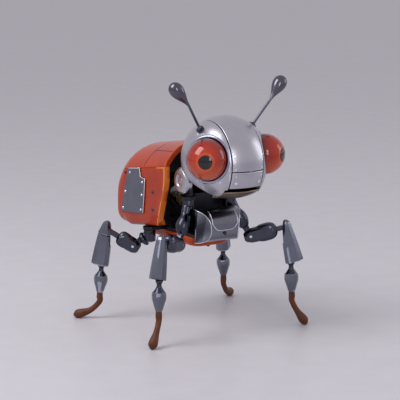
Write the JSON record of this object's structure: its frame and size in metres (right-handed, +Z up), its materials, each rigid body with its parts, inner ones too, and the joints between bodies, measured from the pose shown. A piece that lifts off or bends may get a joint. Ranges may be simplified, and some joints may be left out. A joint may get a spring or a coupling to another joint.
{
  "type": "solar robot kit",
  "caption": "Posable four-legged robot insect with domed head, ball eyes, antennas, arched shell with solar cells, vibration motor and jointed legs with rubber feet.",
  "frame": {"origin": "on the floor, midway between the outermost points of the robot seen from above", "axes": "+Z up, the face looks along -Y, the robot's left side is +X"},
  "size_m": [0.1154, 0.1096, 0.1497],
  "materials": {
    "orange_shell": "glossy orange-red lacquer-like plastic",
    "eye_glaze": "high-gloss orange-red",
    "pupil_black": "gloss black",
    "black_frame": "matte black",
    "solar_slate": "satin slate blue-grey with bright edges",
    "bright_steel": "polished",
    "gunmetal": "satin gunmetal",
    "antenna_metal": "satin dark steel",
    "foot_rubber": "matt rust-brown rubber",
    "motor_steel": "plain steel can",
    "brass_weight": "machined",
    "lead_plastic": "red insulated lead",
    "bezel_metal": "satin with bright rims",
    "satin_silver": "satin, lightly worn edges"
  },
  "bodies": {
    "torso": {"chassis": "black_frame", "hip_pins": "bright_steel", "chest_plate": "satin_silver", "belly_pan": "orange_shell", "top_shell_front": "orange_shell", "top_shell_rear": "orange_shell", "flank_right": "orange_shell", "flank_left": "orange_shell", "solar_cell_right": "solar_slate", "solar_cell_left": "solar_slate", "cell_rivets": "bright_steel", "shell_screws": "bright_steel", "motor_can": "motor_steel", "cell_leads": "lead_plastic"},
    "rotor": {"motor_shaft": "bright_steel", "eccentric_weight": "brass_weight"},
    "neck": {"neck_yoke": "gunmetal", "neck_axle": "bright_steel", "nape_discs": "satin_silver"},
    "head": {"skull_frame": "black_frame", "cheek_right": "satin_silver", "cheek_left": "satin_silver", "forehead_plate": "satin_silver", "muzzle_plate": "satin_silver", "eye_bezel_right": "bezel_metal", "eye_bezel_left": "bezel_metal", "eye_right": "eye_glaze", "eye_left": "eye_glaze", "pupils": "pupil_black", "face_rivets": "bright_steel", "antenna_sockets": "gunmetal"},
    "jaw": {"lower_jaw": "gunmetal"},
    "antenna_right_body": {"antenna_right": "antenna_metal"},
    "antenna_left_body": {"antenna_left": "antenna_metal"},
    "front_right_hip": {"front_right_arm": "gunmetal"},
    "front_right_upper": {"front_right_thigh": "satin_silver", "front_right_pins": "bright_steel"},
    "front_right_lower": {"front_right_shin": "satin_silver"},
    "front_right_tip": {"front_right_spindle": "satin_silver", "front_right_foot": "foot_rubber"},
    "front_left_hip": {"front_left_arm": "gunmetal"},
    "front_left_upper": {"front_left_thigh": "satin_silver", "front_left_pins": "bright_steel"},
    "front_left_lower": {"front_left_shin": "satin_silver"},
    "front_left_tip": {"front_left_spindle": "satin_silver", "front_left_foot": "foot_rubber"},
    "rear_right_hip": {"rear_right_arm": "gunmetal"},
    "rear_right_upper": {"rear_right_thigh": "satin_silver", "rear_right_pins": "bright_steel"},
    "rear_right_lower": {"rear_right_shin": "satin_silver", "rear_right_knee_cap": "satin_silver"},
    "rear_right_tip": {"rear_right_spindle": "satin_silver", "rear_right_foot": "foot_rubber"},
    "rear_left_hip": {"rear_left_arm": "gunmetal"},
    "rear_left_upper": {"rear_left_thigh": "satin_silver", "rear_left_pins": "bright_steel"},
    "rear_left_lower": {"rear_left_shin": "satin_silver", "rear_left_knee_cap": "satin_silver"},
    "rear_left_tip": {"rear_left_spindle": "satin_silver", "rear_left_foot": "foot_rubber"}
  },
  "joints": [
    {"name": "motor_spin", "type": "hinge", "parent": "torso", "child": "rotor", "pos_m": [0, 0.024, 0.075], "axis": [0, 1, 0], "continuous": true},
    {"name": "neck_nod", "type": "hinge", "parent": "torso", "child": "neck", "pos_m": [0, -0.009, 0.0895], "axis": [1, 0, 0], "range_deg": [-8, 12]},
    {"name": "head_turn", "type": "hinge", "parent": "neck", "child": "head", "pos_m": [0, -0.024, 0.0906], "axis": [0, 0, 1], "range_deg": [-15, 15]},
    {"name": "jaw_open", "type": "hinge", "parent": "head", "child": "jaw", "pos_m": [0, -0.038, 0.0874], "axis": [1, 0, 0], "range_deg": [0, 12]},
    {"name": "antenna_right_swing", "type": "hinge", "parent": "head", "child": "antenna_right_body", "pos_m": [-0.01769, -0.02955, 0.12191], "axis": [1, 0, 0], "range_deg": [-15, 15]},
    {"name": "antenna_left_swing", "type": "hinge", "parent": "head", "child": "antenna_left_body", "pos_m": [0.01769, -0.02955, 0.12191], "axis": [1, 0, 0], "range_deg": [-15, 15]},
    {"name": "front_right_hip_turn", "type": "hinge", "parent": "torso", "child": "front_right_hip", "pos_m": [-0.0144, -0.011, 0.075], "axis": [0, 0, 1], "range_deg": [-20, 20]},
    {"name": "front_right_lift", "type": "hinge", "parent": "front_right_hip", "child": "front_right_upper", "pos_m": [-0.02492, -0.01757, 0.054], "axis": [-0.5299, 0.848, 0], "range_deg": [-18, 18]},
    {"name": "front_right_knee_bend", "type": "hinge", "parent": "front_right_upper", "child": "front_right_lower", "pos_m": [-0.04256, -0.02859, 0.0596], "axis": [-0.5299, 0.848, 0], "range_deg": [-20, 20]},
    {"name": "front_right_ankle_bend", "type": "hinge", "parent": "front_right_lower", "child": "front_right_tip", "pos_m": [-0.04518, -0.03024, 0.0377], "axis": [-0.5299, 0.848, 0], "range_deg": [-18, 18]},
    {"name": "front_left_hip_turn", "type": "hinge", "parent": "torso", "child": "front_left_hip", "pos_m": [0.0144, -0.011, 0.075], "axis": [0, 0, -1], "range_deg": [-20, 20]},
    {"name": "front_left_lift", "type": "hinge", "parent": "front_left_hip", "child": "front_left_upper", "pos_m": [0.02492, -0.01757, 0.054], "axis": [-0.5299, -0.848, 0], "range_deg": [-18, 18]},
    {"name": "front_left_knee_bend", "type": "hinge", "parent": "front_left_upper", "child": "front_left_lower", "pos_m": [0.04256, -0.02859, 0.0596], "axis": [-0.5299, -0.848, 0], "range_deg": [-20, 20]},
    {"name": "front_left_ankle_bend", "type": "hinge", "parent": "front_left_lower", "child": "front_left_tip", "pos_m": [0.04518, -0.03024, 0.0377], "axis": [-0.5299, -0.848, 0], "range_deg": [-18, 18]},
    {"name": "rear_right_hip_turn", "type": "hinge", "parent": "torso", "child": "rear_right_hip", "pos_m": [-0.0207, 0.0225, 0.0522], "axis": [0, 0, 1], "range_deg": [-20, 20]},
    {"name": "rear_right_lift", "type": "hinge", "parent": "rear_right_hip", "child": "rear_right_upper", "pos_m": [-0.02828, 0.02886, 0.0456], "axis": [0.6428, 0.766, 0], "range_deg": [-18, 18]},
    {"name": "rear_right_knee_bend", "type": "hinge", "parent": "rear_right_upper", "child": "rear_right_lower", "pos_m": [-0.04046, 0.03908, 0.055], "axis": [0.6428, 0.766, 0], "range_deg": [-20, 20]},
    {"name": "rear_right_ankle_bend", "type": "hinge", "parent": "rear_right_lower", "child": "rear_right_tip", "pos_m": [-0.0433, 0.04146, 0.0329], "axis": [0.6428, 0.766, 0], "range_deg": [-18, 18]},
    {"name": "rear_left_hip_turn", "type": "hinge", "parent": "torso", "child": "rear_left_hip", "pos_m": [0.0207, 0.0225, 0.0522], "axis": [0, 0, -1], "range_deg": [-20, 20]},
    {"name": "rear_left_lift", "type": "hinge", "parent": "rear_left_hip", "child": "rear_left_upper", "pos_m": [0.02828, 0.02886, 0.0456], "axis": [0.6428, -0.766, 0], "range_deg": [-18, 18]},
    {"name": "rear_left_knee_bend", "type": "hinge", "parent": "rear_left_upper", "child": "rear_left_lower", "pos_m": [0.04046, 0.03908, 0.055], "axis": [0.6428, -0.766, 0], "range_deg": [-20, 20]},
    {"name": "rear_left_ankle_bend", "type": "hinge", "parent": "rear_left_lower", "child": "rear_left_tip", "pos_m": [0.0433, 0.04146, 0.0329], "axis": [0.6428, -0.766, 0], "range_deg": [-18, 18]}
  ]
}
